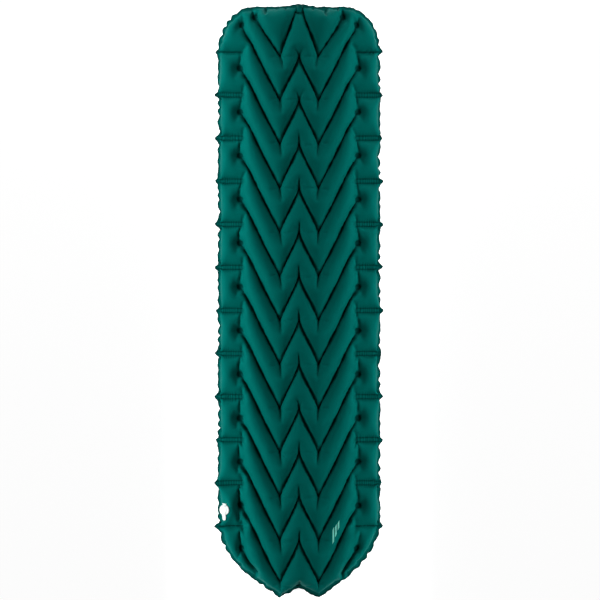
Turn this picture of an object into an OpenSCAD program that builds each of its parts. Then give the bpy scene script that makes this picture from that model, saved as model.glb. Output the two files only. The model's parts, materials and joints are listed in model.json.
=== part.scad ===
// Inflatable sleeping pad: two fabric sheets welded along chevron lines, with a two-stage flat valve.
// Millimetres. X runs across the pad, Y toward the head end, Z up.
// The origin is the centre of the underside. The pad is drawn inflated and lying on a flat floor.

/* [Pad] */
// Length of the inflated pad, head edge to foot tips
pad_length = 1850; // [1750:10:1950]
// Width of the inflated pad over the edge ears
pad_width = 545; // [525:5:600]
// Thickness of the inflated pad
pad_height = 60; // [56:1:70]
// Thickness of each fabric sheet
fabric = 0.6; // [0.5:0.05:0.8]
// Width of a chevron weld, measured along the length of the pad
weld = 14; // [10:1:18]
// Width of the weld that runs round the edge
seam = 5; // [4:0.5:8]

/* [Valve] */
// Tilt of the valve on the side of the rail
valve_tilt = 28; // [24:1:32]
// Diameter of the hole inside the neck of the flange
neck_bore = 21.2; // [20.8:0.1:21.6]
// Diameter of the inflation port in the middle cap
port_bore = 10; // [9.6:0.1:10.2]
// Diameter of the middle cap
stage_d = 32; // [31.5:0.1:33]
// Diameter of the upper cap
cap_d = 18; // [17:0.5:19]

/* [Print] */
// Thickness of the printed ink
ink = 0.15; // [0.1:0.05:0.3]

/* [Hidden] */
$fn = 48;

// Each sheet is a net of straight rows that follow the chevrons and columns that run along the pad.
// Plan sizes below are for a pad 1850 long and 545 wide, and are scaled to the sizes asked for.
along = pad_length / 1850;
across = pad_width / 545;
head_y = pad_length / 2;
foot_y = -pad_length / 2;
mid_z = pad_height / 2;
tube_rise = mid_z - fabric;

// Chevron line: falls from its centre peak to the two bottoms, then rises to the arm ends.
weld_count = 14;
pitch = 137.75 * along;
bottom_x = 60 * across;
arm_end_x = 181 * across;
arm_rise = 242 * along;
first_peak = head_y - 29 * along;
last_peak = first_peak - (weld_count - 1) * pitch;

// Outline of the pad
corner_x = 150 * across;
corner_w = 104 * across;
corner_y = head_y - 135 * along;
corner_h = 128 * along;
hump_x = 60 * across;
hump_h = 7 * along;
taper_y = foot_y + 225 * along;
taper_w = 262 * across;
taper_h = 222 * along;
taper_power = 1.5;
tip_fade = 62 * across;
tip_drop = taper_y - foot_y - taper_h * taper_curve(bottom_x);
notch_rise = 24 * along;
head_squeeze = 0.3;
foot_squeeze = 0.17;
foot_spare = 10 * along;
edge_fade = 60;

// The lower tubes are a little taller than the room they have, so they lie flat on the floor.
lower_fill = 1.05;

// Columns: three carry the chevrons, the others carry the rail at each side.
rail_top_x = 215 * across;
rail_side_x = 247 * across;
rail_edge_x = 251 * across;
half_columns = [
    0, bottom_x, corner_x, arm_end_x, 196 * across,
    rail_top_x, 234 * across, rail_side_x, rail_edge_x, rail_edge_x + seam
];
rail_shape = [0, 0, 0, 0, 0.8, 1, 0.85, 0.45, 0, 0];
end_column = 3;
edge_column = 8;
last_column = len(half_columns) - 1;

// Rows of one tube: how far down the tube each lies, and how high the tube and the rail are there.
row_place = [0, 0.14, 0.46, 0.54, 0.86, 1];
row_tube = [0, 0.68, 1, 1, 0.68, 0];
row_rail = [1, 0.95, 0, 0, 0.95, 1];
row_dot = [0, 0.66, 0, 0, 0.66, 0];
tube_rows = len(row_place);
open_rail = 0.97;

// Valve, in its own frame: z = 0 is the outer face of the upper sheet
valve_x = -231 * across;
valve_y = last_peak + arm_rise;
valve_z = pad_height - (-valve_x - rail_top_x) * tan(valve_tilt);
valve_flat = 26 * along;
sheet_normal = fabric * cos(valve_tilt);
skirt_r = 17.5;
skirt_t = 1;
neck_r = 12.2;
bead_r = 13.1;
bead_h = 0.8;
neck_top = 3.4;
gasket_t = 0.5;
stage_base = neck_top + gasket_t;
stage_t = 1.2;
stage_top = stage_base + stage_t;
port_r = port_bore / 2;
port_wall = 2;
port_top = 7;
port_base = -3;
cap_t = 1.4;
plug_depth = 3;
plug_bore_r = port_r + 0.2;
lower_bore_r = port_r - 0.4;
nozzle_top = 3.9;
nozzle_base = -0.9;
plug_r = plug_bore_r - 0.6;
groove_r = plug_bore_r - 1.1;
seal_r = 0.45;
seal_z = port_top - plug_depth / 2;
neck_gap = 0.2;
neck_hole_h = 20;
rim_r = 13.5;
rim_z = 1.3;
inner_ring_r = neck_bore / 2 - 0.4;
inner_ring_t = 1.4;
inner_ring_z = 1;
stage_tab_w = 12;
stage_tab_y = 26;
cap_tab_w = 9;
cap_tab_t = 0.9;
cap_tab_y = 15;
plug_wall = 1.6;
groove_h = 1;
seat_t = 0.8;
seat_hole_r = 1.2;
seat_hole_at = 3.2;
stem_gap = 0.2;
flap_r = 6.2;
flap_t = 0.5;
stem_r = 0.8;
stem_l = 2.1;
stem_head_r = 1.5;
stem_head_h = 0.7;
// Radial room between a seal and the hole it lies in
seal_gap = 0.2;

// Hinges
pin_r = 0.8;
pin_gap = 0.08;
strap_r = 14.2;
strap_t = 1;
strap_z = 0.1;
knuckle_r = 1.4;
stage_pin_y = 18.2;
stage_pin_z = 2.8;
stage_ear_w = 12.6;
stage_ear_gap = 8.6;
stage_ear_r = 1.5;
cap_pin_y = 12.6;
cap_pin_z = 7.6;
cap_ear_w = 10.4;
cap_ear_gap = 6.6;
cap_ear_r = 1.3;
cap_foot_t = 0.8;
cap_foot_half = 2;
// Play of a knuckle between its ears, both sides together
knuckle_play = 0.4;

// Printed bars
bar_x = 104 * across;
bar_step = 8 * across;
bar_w = 5 * across;
bar_reach = [0.18, 0.13, 0.09];

// Which piece to draw

// ---------- Net of the sheets ----------

function lerp(a, b, t) = a + (b - a) * t;
function unit(t) = min(1, max(0, t));

// How far the chevron line lies above its peak at a distance x from the centre line
function chevron(x) =
    let (d = min(abs(x), arm_end_x))
    d < bottom_x
        ? -pitch * d / bottom_x
        : -pitch + arm_rise * (d - bottom_x) / (arm_end_x - bottom_x);

// Head outline: a shallow hump in the middle and two rounded corners
function head_edge(x) =
    let (
        over = unit((abs(x) - corner_x) / corner_w),
        hump = hump_h * cos(90 * unit(abs(x) / hump_x))
    )
    corner_y + corner_h * sqrt(1 - over * over) + hump;

// Foot outline: tapers in to two tips with a notch between them
function taper_curve(x) = pow(1 - pow(unit(abs(x) / taper_w), taper_power), 1 / taper_power);
function tip_shape(x) =
    abs(x) < bottom_x
        ? lerp(-notch_rise, tip_drop, abs(x) / bottom_x)
        : tip_drop * (1 - unit((abs(x) - bottom_x) / tip_fade));
function foot_edge(x) = taper_y - taper_h * taper_curve(x) - tip_shape(x);

// Height along the pad of the line that passes through s on the centre line.
// Near the head and the foot the lines are pressed together so that they stay inside the outline.
function line_y(x, s) =
    let (
        highest = head_edge(x) - seam - head_squeeze * (head_y - s),
        lowest = foot_edge(x) + seam + foot_squeeze * (s - foot_y + foot_spare)
    )
    max(min(s + chevron(x), highest), lowest);

// A row is [line, share of the way to the seam, 1 on the outline, tube height, rail height, dot height].
head_line = first_peak + weld / 2;
foot_line = last_peak - weld / 2;
head_rows = [
    [head_line, 1, 1, 0, 0, 0],
    [head_line, 1, 0, 0, 0, 0],
    [head_line, 0.65, 0, 0.8, 1, 0.8],
    [head_line, 0.3, 0, 0.8, 1, 0.8],
    [head_line, 0, 0, 0, 1, 0]
];
// The rail of the first tube has no cross weld.
function tube_row(k, i) =
    [
        first_peak - k * pitch - weld / 2 - row_place[i] * (pitch - weld),
        0, 0, row_tube[i], k == 0 ? open_rail : row_rail[i], row_dot[i]
    ];
tube_net = [for (k = [0 : weld_count - 2], i = [0 : tube_rows - 1]) tube_row(k, i)];
foot_rows = [
    [foot_line, 0, 0, 0, 1, 0],
    [foot_line, 0.5, 0, 0.6, 0.6, 0.6],
    [foot_line, 1, 0, 0, 0, 0],
    [foot_line, 1, 1, 0, 0, 0]
];
rows = concat(head_rows, tube_net, foot_rows);
columns = concat(
    [for (i = [last_column : -1 : 1]) -i],
    [for (i = [0 : last_column]) i]
);

function is_cross_weld(row) = row[4] == 0 && row[3] == 1;

// The cross welds of the rails reach past the edge as ears.
function net_x(row, c) =
    let (
        h = abs(c),
        drawn = half_columns[h],
        ear = is_cross_weld(row) && h >= edge_column
            ? pad_width / 2 - half_columns[last_column]
            : 0
    )
    sign(c) * (drawn + ear);

function net_y(row, x) =
    let (
        free = seam * (1 - row[2]),
        edge = row[0] > 0 ? head_edge(x) - free : foot_edge(x) + free
    )
    lerp(line_y(x, row[0]), edge, row[1]);

function net_rise(row, c, x, y) =
    let (
        h = abs(c),
        level = h < end_column ? row[3] : h == end_column ? row[5] : rail_shape[h] * row[4],
        inside = min(head_edge(x) - y, y - foot_edge(x)) - seam
    )
    tube_rise * level * sqrt(unit(inside / edge_fade));

// One point of the net: [x, y, rise above the weld plane]
function net_point(row, c) =
    let (x = net_x(row, c), y = net_y(row, half_columns[abs(c)]))
    [x, y, net_rise(row, c, half_columns[abs(c)], y)];
net = [for (row = rows) [for (c = columns) net_point(row, c)]];

// The upper sheet is flat under the valve.
function on_valve(p) =
    p[0] < -rail_top_x + 1 && p[0] > -rail_side_x - 1 && abs(p[1] - valve_y) < valve_flat;
function valve_plane(x) = valve_z + (x - valve_x) * tan(valve_tilt);
function upper_z(p) = on_valve(p) ? valve_plane(p[0]) : mid_z + fabric + p[2];
function lower_z(p) = max(0, mid_z - fabric - lower_fill * p[2]);

// Closed shell between two nets with the same rows and columns
module shell(upper, under) {
    m = len(upper);
    n = len(upper[0]);
    count = m * n;
    half = (n - 1) / 2;
    cells = [for (r = [0 : m - 2], c = [0 : n - 2]) [r, c]];
    up = [
        for (q = cells)
            let (a = q[0] * n + q[1], b = a + 1, d = a + n, e = d + 1)
            each q[1] < half ? [[a, b, d], [b, e, d]] : [[a, b, e], [a, e, d]]
    ];
    down = [for (f = up) [f[2] + count, f[1] + count, f[0] + count]];
    loop = concat(
        [for (c = [0 : n - 2]) c],
        [for (r = [0 : m - 2]) r * n + n - 1],
        [for (c = [n - 1 : -1 : 1]) (m - 1) * n + c],
        [for (r = [m - 1 : -1 : 1]) r * n]
    );
    wall = [
        for (i = [0 : len(loop) - 1])
            let (a = loop[i], b = loop[(i + 1) % len(loop)])
            each [[b, a, a + count], [b, a + count, b + count]]
    ];
    polyhedron(
        points = concat([for (row = upper) each row], [for (row = under) each row]),
        faces = concat(up, down, wall)
    );
}

module sheet_shell(heights, lift) {
    upper = [for (i = [0 : len(net) - 1]) [for (j = [0 : len(net[i]) - 1])
        [net[i][j][0], net[i][j][1], heights[i][j] + lift]]];
    under = [for (row = upper) [for (p = row) [p[0], p[1], p[2] - fabric]]];
    shell(upper, under);
}

// ---------- Sheets and print ----------

// Upper sheet, with the round hole that the valve's neck passes through
module top_sheet() {
    color([0.0, 0.38, 0.35])
    difference() {
        sheet_shell([for (row = net) [for (p = row) upper_z(p)]], 0);
        on_valve_frame()
            translate([0, 0, -neck_hole_h / 2])
            cylinder(r = neck_r + neck_gap, h = neck_hole_h);
    }
}

// Lower sheet; its tubes are pressed flat where they lie on the floor
module bottom_sheet() {
    color([0.0, 0.30, 0.28])
    sheet_shell([for (row = net) [for (p = row) lower_z(p)]], fabric);
}

// Three plain bars printed on the right arm of the last full tube
module mark_print() {
    color([0.43, 0.94, 0.86])
    for (i = [0 : 2])
        print_bar(bar_x + i * bar_step, bar_reach[i]);
}

module print_bar(x, reach) {
    places = [0.5 - reach, row_place[2], row_place[3], 0.5 + reach];
    upper = [for (t = places) [for (bx = [x, x + bar_w]) print_point(bx, t, ink)]];
    under = [for (t = places) [for (bx = [x, x + bar_w]) print_point(bx, t, 0)]];
    shell(upper, under);
}

// A point on the last full tube, t of the way from its upper weld to its lower one
function print_point(x, t, lift) =
    let (
        s = last_peak + 2 * pitch - weld / 2 - t * (pitch - weld),
        shoulder = min(t, 1 - t),
        level = shoulder >= row_place[2]
            ? 1
            : lerp(row_tube[1], 1, (shoulder - row_place[1]) / (row_place[2] - row_place[1]))
    )
    [x, s + chevron(x), mid_z + fabric + tube_rise * level + lift];

// ---------- Valve ----------

module on_valve_frame() {
    translate([valve_x, valve_y, valve_z])
        rotate([0, -valve_tilt, 0])
        children();
}

module ring(inner, outer, h) {
    difference() {
        cylinder(r = outer, h = h);
        translate([0, 0, -1]) cylinder(r = inner, h = h + 2);
    }
}

// A round bar along X, centred on x = 0
module bar_x_axis(r, length) {
    rotate([0, 90, 0]) cylinder(r = r, h = length, center = true);
}

module box_x(width, y0, y1, z0, z1) {
    translate([-width / 2, y0, z0]) cube([width, y1 - y0, z1 - z0]);
}

// Two ears that hold a hinge pin, and the pin itself
module hinge_ears(y, z, foot_z, width, gap, ear_r) {
    difference() {
        union() {
            translate([0, y, z]) bar_x_axis(ear_r, width);
            box_x(width, y - ear_r, y + ear_r, foot_z, z);
        }
        box_x(gap, y - ear_r - 1, y + ear_r + 1, foot_z, z + ear_r + 1);
    }
    translate([0, y, z]) bar_x_axis(pin_r, width);
}

// Welded ring: a thin skirt under the sheet and a neck with a bead through it
module valve_flange() {
    color([0.86, 0.93, 0.92])
    on_valve_frame()
    difference() {
        union() {
            translate([0, 0, -sheet_normal - skirt_t]) cylinder(r = skirt_r, h = skirt_t);
            translate([0, 0, -sheet_normal - skirt_t])
                cylinder(r = neck_r, h = neck_top + sheet_normal + skirt_t);
            translate([0, 0, neck_top - bead_h]) cylinder(r = bead_r, h = bead_h);
        }
        translate([0, 0, -skirt_t - 2]) cylinder(r = neck_bore / 2, h = neck_top + skirt_t + 4);
    }
}

// Ring round the neck with the ears that the middle cap swings on
module stage_strap() {
    color([0.80, 0.90, 0.89])
    on_valve_frame() {
        translate([0, 0, strap_z]) ring(neck_r + neck_gap, strap_r, strap_t);
        difference() {
            box_x(stage_ear_w, 0, stage_pin_y + stage_ear_r, strap_z, strap_z + strap_t);
            translate([0, 0, -1]) cylinder(r = strap_r - 0.2, h = 4);
        }
        hinge_ears(
            stage_pin_y, stage_pin_z, strap_z + strap_t,
            stage_ear_w, stage_ear_gap, stage_ear_r
        );
    }
}

// Middle cap: rim over the bead, ring inside the neck, stepped inflation port and pull tab.
// A nozzle seats in the middle step of the port; the plug of the upper cap seats in the top step.
module stage_cap() {
    color([0.88, 0.95, 0.94])
    on_valve_frame()
    difference() {
        union() {
            translate([0, 0, stage_base]) cylinder(d = stage_d, h = stage_t);
            translate([0, 0, rim_z]) ring(rim_r, stage_d / 2, stage_base - rim_z);
            translate([0, 0, inner_ring_z])
                ring(inner_ring_r - inner_ring_t, inner_ring_r, stage_base - inner_ring_z);
            translate([0, 0, port_base]) cylinder(r = port_r + port_wall, h = port_top - port_base);
            box_x(stage_tab_w, -stage_tab_y, -stage_d / 2 + 3, stage_base, stage_top);
            translate([0, -stage_tab_y, stage_base]) cylinder(d = stage_tab_w, h = stage_t);
            box_x(
                stage_ear_gap - knuckle_play, stage_d / 2 - 2, stage_pin_y,
                stage_pin_z - knuckle_r, stage_top
            );
            translate([0, stage_pin_y, stage_pin_z]) bar_x_axis(knuckle_r, stage_ear_gap - knuckle_play);
        }
        translate([0, 0, nozzle_top]) cylinder(r = plug_bore_r, h = port_top);
        translate([0, 0, nozzle_base]) cylinder(r = port_r, h = port_top);
        translate([0, 0, port_base - 1]) cylinder(r = lower_bore_r, h = port_top);
        translate([0, stage_pin_y, stage_pin_z]) bar_x_axis(pin_r + pin_gap, stage_ear_w);
        hinge_relief(stage_pin_y, stage_pin_z);
    }
}

// Room above the knuckle, so that the cap's plate does not reach the ears
module hinge_relief(y, z) {
    box_x(stage_ear_w + 1, y - stage_ear_r, y + stage_ear_r + 1, z + knuckle_r, z + 10);
}

// Flat gasket that the middle cap presses on the neck
module stage_seal() {
    color([0.55, 0.60, 0.62])
    on_valve_frame()
    translate([0, 0, neck_top]) ring(neck_bore / 2 + seal_gap, neck_r, gasket_t);
}

// Plate with air holes at the bottom of the port
module flap_seat() {
    color([0.78, 0.86, 0.86])
    on_valve_frame()
    translate([0, 0, port_base - seat_t])
    difference() {
        cylinder(r = port_r + port_wall, h = seat_t);
        translate([0, 0, -1]) cylinder(r = stem_r + stem_gap, h = seat_t + 2);
        for (a = [0 : 60 : 300])
            rotate(a) translate([seat_hole_at, 0, -1]) cylinder(r = seat_hole_r, h = seat_t + 2);
    }
}

// Umbrella flap: disc under the seat, stem through it and a head that keeps it there
module check_flap() {
    color([0.75, 0.45, 0.42])
    on_valve_frame() {
        translate([0, 0, port_base - seat_t - flap_t]) cylinder(r = flap_r, h = flap_t);
        translate([0, 0, port_base - seat_t]) cylinder(r = stem_r, h = stem_l);
        translate([0, 0, port_base - seat_t + stem_l])
            cylinder(r1 = stem_head_r, r2 = stem_r, h = stem_head_h);
    }
}

// Foot and ears on the middle cap that the upper cap swings on
module cap_strap() {
    color([0.80, 0.90, 0.89])
    on_valve_frame() {
        box_x(
            cap_ear_w, cap_pin_y - cap_foot_half, cap_pin_y + cap_foot_half,
            stage_top, stage_top + cap_foot_t
        );
        hinge_ears(
            cap_pin_y, cap_pin_z, stage_top + cap_foot_t,
            cap_ear_w, cap_ear_gap, cap_ear_r
        );
    }
}

// Upper cap: disc, hollow plug with a groove, pull tab and hinge lug
module port_cap() {
    color([0.90, 0.97, 0.96])
    on_valve_frame()
    difference() {
        union() {
            translate([0, 0, port_top]) cylinder(d = cap_d, h = cap_t);
            translate([0, 0, port_top - plug_depth]) cylinder(r = plug_r, h = plug_depth);
            box_x(cap_tab_w, -cap_tab_y, 0, port_top, port_top + cap_tab_t);
            translate([0, -cap_tab_y, port_top]) cylinder(d = cap_tab_w, h = cap_tab_t);
            box_x(cap_ear_gap - knuckle_play, cap_d / 2 - 1, cap_pin_y, port_top, port_top + cap_t);
            translate([0, cap_pin_y, cap_pin_z]) bar_x_axis(cap_ear_r, cap_ear_gap - knuckle_play);
        }
        translate([0, 0, port_top - plug_depth - 1]) cylinder(r = plug_r - plug_wall, h = plug_depth);
        translate([0, 0, seal_z - groove_h / 2]) ring(groove_r, plug_bore_r, groove_h);
        translate([0, cap_pin_y, cap_pin_z]) bar_x_axis(pin_r + pin_gap, cap_ear_w);
    }
}

// O-ring in the groove of the plug
module cap_seal() {
    color([0.50, 0.55, 0.58])
    on_valve_frame()
    translate([0, 0, seal_z])
    rotate_extrude()
    translate([groove_r + seal_r, 0]) circle(r = seal_r, $fn = 32);
}

top_sheet();
bottom_sheet();
mark_print();
valve_flange();
stage_strap();
stage_cap();
stage_seal();
flap_seat();
check_flap();
cap_strap();
port_cap();
cap_seal();
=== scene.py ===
"""Inflatable sleeping pad: two welded sheets inflated by a cloth solver, and a two-stage flat valve.

Metres, in the frame of the part: X across, Y toward the head, Z up, origin under the pad's centre.
"""
import json
import math

import bmesh
import bpy
import numpy as np
from mathutils import Matrix, Vector
from mathutils.bvhtree import BVHTree
from mathutils.geometry import delaunay_2d_cdt
from mathutils.kdtree import KDTree

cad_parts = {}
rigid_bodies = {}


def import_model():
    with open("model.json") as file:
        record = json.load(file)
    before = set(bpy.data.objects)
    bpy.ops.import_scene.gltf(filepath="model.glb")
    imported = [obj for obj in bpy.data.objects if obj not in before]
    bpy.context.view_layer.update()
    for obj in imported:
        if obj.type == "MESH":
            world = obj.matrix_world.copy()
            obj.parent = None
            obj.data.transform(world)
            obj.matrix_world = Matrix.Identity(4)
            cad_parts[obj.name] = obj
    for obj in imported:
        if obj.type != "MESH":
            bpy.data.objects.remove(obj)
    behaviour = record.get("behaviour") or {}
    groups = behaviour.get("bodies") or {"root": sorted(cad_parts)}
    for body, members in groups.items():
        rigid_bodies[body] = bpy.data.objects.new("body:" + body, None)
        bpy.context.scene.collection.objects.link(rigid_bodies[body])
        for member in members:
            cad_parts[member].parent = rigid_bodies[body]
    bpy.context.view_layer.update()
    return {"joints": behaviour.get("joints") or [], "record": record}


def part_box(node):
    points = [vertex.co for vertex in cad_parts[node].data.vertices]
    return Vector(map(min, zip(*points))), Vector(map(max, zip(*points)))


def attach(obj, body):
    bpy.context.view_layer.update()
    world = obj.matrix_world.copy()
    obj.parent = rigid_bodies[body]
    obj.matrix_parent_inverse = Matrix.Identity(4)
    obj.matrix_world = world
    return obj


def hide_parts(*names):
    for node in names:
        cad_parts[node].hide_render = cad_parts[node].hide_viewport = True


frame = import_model()

RANDOM = np.random.default_rng(11)

# ---------- sizes taken from the frame
pad_low, pad_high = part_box("top_sheet")
HALF_LENGTH = (pad_high[1] - pad_low[1]) / 2
HALF_WIDTH = (pad_high[0] - pad_low[0]) / 2
MID_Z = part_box("bottom_sheet")[1][2]  # height of the weld plane
LENGTH_UNIT = HALF_LENGTH / 0.925
WIDTH_UNIT = HALF_WIDTH / 0.2725

# weld pattern, where it lies on the inflated pad
CHEVRONS = 13
SIDE_WELDS = 12
BOTTOM_X = 0.060 * WIDTH_UNIT
ARM_END_X = 0.181 * WIDTH_UNIT
EDGE_X = 0.270 * WIDTH_UNIT

FIRST_BOTTOM = 0.761 * LENGTH_UNIT
WELD_PITCH = 0.1375 * LENGTH_UNIT
ARM_RISE = 0.242 * LENGTH_UNIT
FIRST_DOT = 0.863 * LENGTH_UNIT
DOT_PITCH = 0.1367 * LENGTH_UNIT
FIRST_SIDE_WELD = 0.775 * LENGTH_UNIT
SIDE_WELD_PITCH = 0.1346 * LENGTH_UNIT
SIDE_WELD_X = 0.181 * WIDTH_UNIT

# how much larger the flat sheets are than the inflated pad
STRETCH_X = 1.28
STRETCH_RAIL = 1.12
STRETCH_Y = 1.075

# size of the cloth's triangles: a coarse pass first, then a fine one, finest where it puckers
COARSE_CELL = 0.011
FINE_CELL = 0.0066
PUCKER_CELL = 0.0037

# welds and the places round them
SEAM = 0.0055
CHEVRON_HALF = 0.0012
SIDE_HALF = 0.0070
DOT_R = 0.0080
PUCKER_REACH = 0.022
CREASE_REACH = 0.008
CREASE_END = 0.096
BEAD_PITCH = 0.0085


# ---------- flat pattern
def zigzag(side, drop, rise):
    """Height of a chevron line over its peak, at a distance side from the centre line."""
    inner = -drop * side / BOTTOM_X
    outer = -drop + rise * (np.minimum(side, ARM_END_X) - BOTTOM_X) / (ARM_END_X - BOTTOM_X)
    return np.where(side < BOTTOM_X, inner, outer)


# The arms keep their length when the pad is inflated, so they lie less steeply on the flat sheet.
FLAT_DROP = math.sqrt(WELD_PITCH**2 + BOTTOM_X**2 * (1 - STRETCH_X**2))
FLAT_RISE = math.sqrt(ARM_RISE**2 + (ARM_END_X - BOTTOM_X) ** 2 * (1 - STRETCH_X**2))


def to_flat(points):
    """Places on the inflated pad's plan to places on the flat cut sheet."""
    x, y = points[:, 0], points[:, 1]
    side = np.abs(x)
    wide = np.minimum(side, ARM_END_X) * STRETCH_X + np.maximum(side - ARM_END_X, 0) * STRETCH_RAIL
    tall = STRETCH_Y * (y - zigzag(side, WELD_PITCH, ARM_RISE)) + zigzag(side, FLAT_DROP, FLAT_RISE)
    return np.column_stack([np.sign(x) * wide, tall])


def to_plan(points):
    """The inverse of to_flat."""
    x, y = points[:, 0], points[:, 1]
    wide = np.abs(x)
    turn_x = ARM_END_X * STRETCH_X
    side = np.minimum(wide, turn_x) / STRETCH_X + np.maximum(wide - turn_x, 0) / STRETCH_RAIL
    tall = (y - zigzag(side, FLAT_DROP, FLAT_RISE)) / STRETCH_Y + zigzag(side, WELD_PITCH, ARM_RISE)
    return np.column_stack([np.sign(x) * side, tall])


def head_edge(x):
    """Head outline: rounded corners and a low hump in the middle."""
    corner_x, corner_y, corner_h = 0.150 * WIDTH_UNIT, FIRST_SIDE_WELD, 0.143 * LENGTH_UNIT
    over = np.clip((np.abs(x) - corner_x) / (EDGE_X - corner_x), 0, 1)
    hump = 0.007 * np.cos(np.pi / 2 * np.clip(np.abs(x) / 0.06, 0, 1))
    return corner_y + corner_h * np.sqrt(1 - over**2) + hump


def foot_edge(x):
    """Foot outline: tapers to two tips with a notch between them."""
    start, depth, power = -0.700 * LENGTH_UNIT, 0.230 * LENGTH_UNIT, 1.7
    side = np.abs(x)
    taper = (1 - np.clip(side / EDGE_X, 0, 1) ** power) ** (1 / power)
    tip_x, tip, notch = 0.066, 0.014, -0.030
    shape = np.where(
        side < tip_x, notch + (tip - notch) * side / tip_x, tip * (1 - np.clip((side - tip_x) / 0.06, 0, 1))
    )
    return start - depth * taper - shape


def outline(cell):
    """Closed outline of the flat sheet, anticlockwise, as points about one cell apart."""
    x = np.linspace(-EDGE_X, EDGE_X, 600)
    foot = np.column_stack([x, foot_edge(x)])
    head = np.column_stack([x[::-1], head_edge(x[::-1])])
    ring = to_flat(np.vstack([foot, head]))
    return evenly(np.vstack([ring, ring[:1]]), cell)[:-1]


def evenly(line, step):
    """The polyline resampled at equal steps, ends included."""
    run = np.concatenate([[0], np.cumsum(np.linalg.norm(np.diff(line, axis=0), axis=1))])
    at = np.linspace(0, run[-1], max(2, int(round(run[-1] / step)) + 1))
    return np.column_stack([np.interp(at, run, line[:, 0]), np.interp(at, run, line[:, 1])])


def inward(ring, distance):
    """The closed anticlockwise ring moved inward."""
    along = np.roll(ring, -1, axis=0) - np.roll(ring, 1, axis=0)
    along /= np.linalg.norm(along, axis=1)[:, None]
    return ring + distance * np.column_stack([-along[:, 1], along[:, 0]])


def inside(points, ring):
    """Which points lie inside the closed ring."""
    result = np.zeros(len(points), bool)
    x, y = points[:, 0], points[:, 1]
    for (x0, y0), (x1, y1) in zip(ring, np.roll(ring, -1, axis=0)):
        crosses = (y0 > y) != (y1 > y)
        if y0 != y1:
            result ^= crosses & (x < (x1 - x0) * (y - y0) / (y1 - y0) + x0)
    return result


def weld_lines():
    """Weld polylines as (flat points, half width), and the round weld ends, on the flat sheet."""
    lines, dots = [], []
    for k in range(CHEVRONS):
        bottom = FIRST_BOTTOM - k * WELD_PITCH
        peak = bottom + WELD_PITCH
        dot = FIRST_DOT - (k - 1) * DOT_PITCH
        end_x = ARM_END_X
        if k == 0:
            end_x, dot = 0.137 * WIDTH_UNIT, 0.884 * LENGTH_UNIT
        top_x = 0.014 if k == 0 else 0.0
        line = [(-end_x, dot), (-BOTTOM_X, bottom), (-top_x, peak), (BOTTOM_X, bottom), (end_x, dot)]
        if k == 0:
            line.insert(3, (top_x, peak))
        lines.append((line, CHEVRON_HALF))
        dots += [(-end_x, dot), (end_x, dot)]
    last_dot = FIRST_DOT - (CHEVRONS - 1) * DOT_PITCH
    for side in (-1, 1):
        arm = [(side * ARM_END_X, last_dot), (side * ARM_END_X * 0.80, last_dot - 0.075)]
        lines.append((arm, CHEVRON_HALF))
        dots.append((side * ARM_END_X, last_dot))
        for k in range(SIDE_WELDS):
            y = FIRST_SIDE_WELD - k * SIDE_WELD_PITCH
            half = SIDE_HALF if 0 < k < SIDE_WELDS - 1 else CHEVRON_HALF
            lines.append(([(side * SIDE_WELD_X, y), (side * EDGE_X, y)], half))
    return [(to_flat(np.array(line)), half) for line, half in lines], to_flat(np.array(dots))


def weld_distance(points, lines, dots):
    """Distance of each point outside the nearest weld, negative within it."""
    best = np.full(len(points), np.inf)
    pieces = [(a, b, half) for line, half in lines for a, b in zip(line[:-1], line[1:])]
    pieces += [(d, d + 1e-6, DOT_R) for d in dots]
    for a, b, half in pieces:
        step = b - a
        t = np.clip(((points - a) @ step) / (step @ step), 0, 1)
        best = np.minimum(best, np.linalg.norm(points - (a + t[:, None] * step), axis=1) - half)
    return best


def spaced(points, kept, gaps):
    """The points at least their gap from all kept ones and from each other, first come first kept."""
    size = float(np.max(gaps))
    gaps = np.broadcast_to(gaps, len(points))
    grid = {}
    for p in kept:
        grid.setdefault((int(p[0] // size), int(p[1] // size)), []).append(p)
    result = []
    for p, gap in zip(points, gaps):
        i, j = int(p[0] // size), int(p[1] // size)
        near = [q for a in (i - 1, i, i + 1) for b in (j - 1, j, j + 1) for q in grid.get((a, b), ())]
        if all((p[0] - q[0]) ** 2 + (p[1] - q[1]) ** 2 >= gap * gap for q in near):
            grid.setdefault((i, j), []).append(p)
            result.append(p)
    return result


def pucker_zone(points, lines):
    """True near the side welds and where tubes meet at the chevrons' corners: the cloth puckers finely."""
    near = np.zeros(len(points), bool)
    for line, half in lines:
        if half == SIDE_HALF:
            a, b = line
            t = np.clip((points[:, 0] - a[0]) / (b[0] - a[0]), 0, 1)
            gap = np.hypot(points[:, 0] - (a[0] + t * (b[0] - a[0])), points[:, 1] - a[1])
            near |= gap < SIDE_HALF + PUCKER_REACH * 0.7
        else:
            for corner in line[1:-1]:
                near |= np.hypot(*(points - corner).T) < PUCKER_REACH * 1.3
    plan = to_plan(points)
    levels = (FIRST_BOTTOM - plan[:, 1]) / WELD_PITCH
    from_level = np.abs(levels - np.round(levels)) * WELD_PITCH
    return near | (from_level < CREASE_REACH) & (np.abs(plan[:, 0]) < CREASE_END)


def lattice(edge, cell, jitter):
    """Points of an even triangular lattice over the sheet."""
    low, high = edge.min(axis=0), edge.max(axis=0)
    rows = np.arange(low[1], high[1], cell * math.sqrt(3) / 2)
    points = []
    for j, y in enumerate(rows):
        x = np.arange(low[0], high[0], cell) + (cell / 2 if j % 2 else 0)
        points.append(np.column_stack([x, np.full(len(x), y)]))
    points = np.vstack(points)
    return points + RANDOM.uniform(-jitter, jitter, points.shape) * cell


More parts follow.
